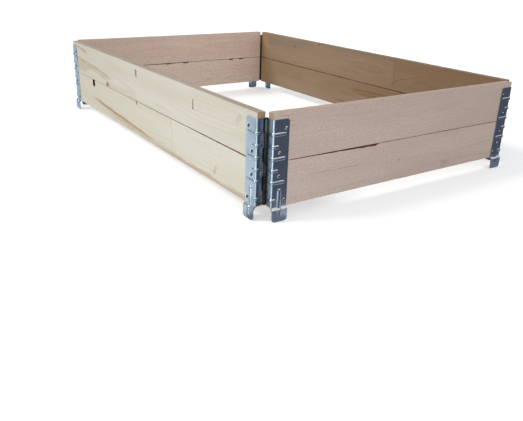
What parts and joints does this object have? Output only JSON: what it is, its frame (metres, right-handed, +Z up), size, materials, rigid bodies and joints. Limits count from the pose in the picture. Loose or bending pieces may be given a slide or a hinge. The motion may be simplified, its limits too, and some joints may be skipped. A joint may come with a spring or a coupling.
{
  "type": "wooden pallet collar",
  "caption": "Folding rectangular timber collar of double-board sides joined by pressed steel corner hinges with hanging tabs, stacked on a pallet to form a box wall.",
  "frame": {"origin": "on the floor under the middle of the collar, at the ends of the hanging tabs", "axes": "+X along the long sides, +Y from the front side to the back side, +Z up"},
  "size_m": [1.2168, 0.8168, 0.23],
  "materials": {
    "softwood": "sawn and planed, bare",
    "galvanised_sheet": "pressed sheet, zinc coated",
    "nail_steel": "zinc coated",
    "pin_steel": "drawn wire"
  },
  "bodies": {
    "front_side": {"front_upper_board": "softwood", "front_lower_board": "softwood", "front_right_leaf": "galvanised_sheet", "front_right_nails": "nail_steel", "front_right_pin": "pin_steel", "front_left_leaf": "galvanised_sheet", "front_left_nails": "nail_steel", "front_left_pin": "pin_steel"},
    "right_side": {"right_upper_board": "softwood", "right_lower_board": "softwood", "right_back_leaf": "galvanised_sheet", "right_back_nails": "nail_steel", "right_front_leaf": "galvanised_sheet", "right_front_nails": "nail_steel"},
    "back_side": {"back_upper_board": "softwood", "back_lower_board": "softwood", "back_left_leaf": "galvanised_sheet", "back_left_nails": "nail_steel", "back_left_pin": "pin_steel", "back_right_leaf": "galvanised_sheet", "back_right_nails": "nail_steel", "back_right_pin": "pin_steel"},
    "left_side": {"left_upper_board": "softwood", "left_lower_board": "softwood", "left_front_leaf": "galvanised_sheet", "left_front_nails": "nail_steel", "left_back_leaf": "galvanised_sheet", "left_back_nails": "nail_steel"}
  },
  "joints": [
    {"name": "left_fold", "type": "hinge", "parent": "front_side", "child": "left_side", "pos_m": [-0.58, -0.38, 0.12], "axis": [0, 0, 1], "range_deg": [-89, 89]},
    {"name": "right_fold", "type": "hinge", "parent": "front_side", "child": "right_side", "pos_m": [0.58, -0.38, 0.12], "axis": [0, 0, 1], "range_deg": [-89, 89]},
    {"name": "back_fold", "type": "hinge", "parent": "left_side", "child": "back_side", "pos_m": [-0.58, 0.38, 0.12], "axis": [0, 0, 1], "range_deg": [-89, 89]}
  ],
  "couplings": [
    {"joint": "right_fold", "follows": "left_fold", "ratio": 1},
    {"joint": "back_fold", "follows": "left_fold", "ratio": -1}
  ]
}
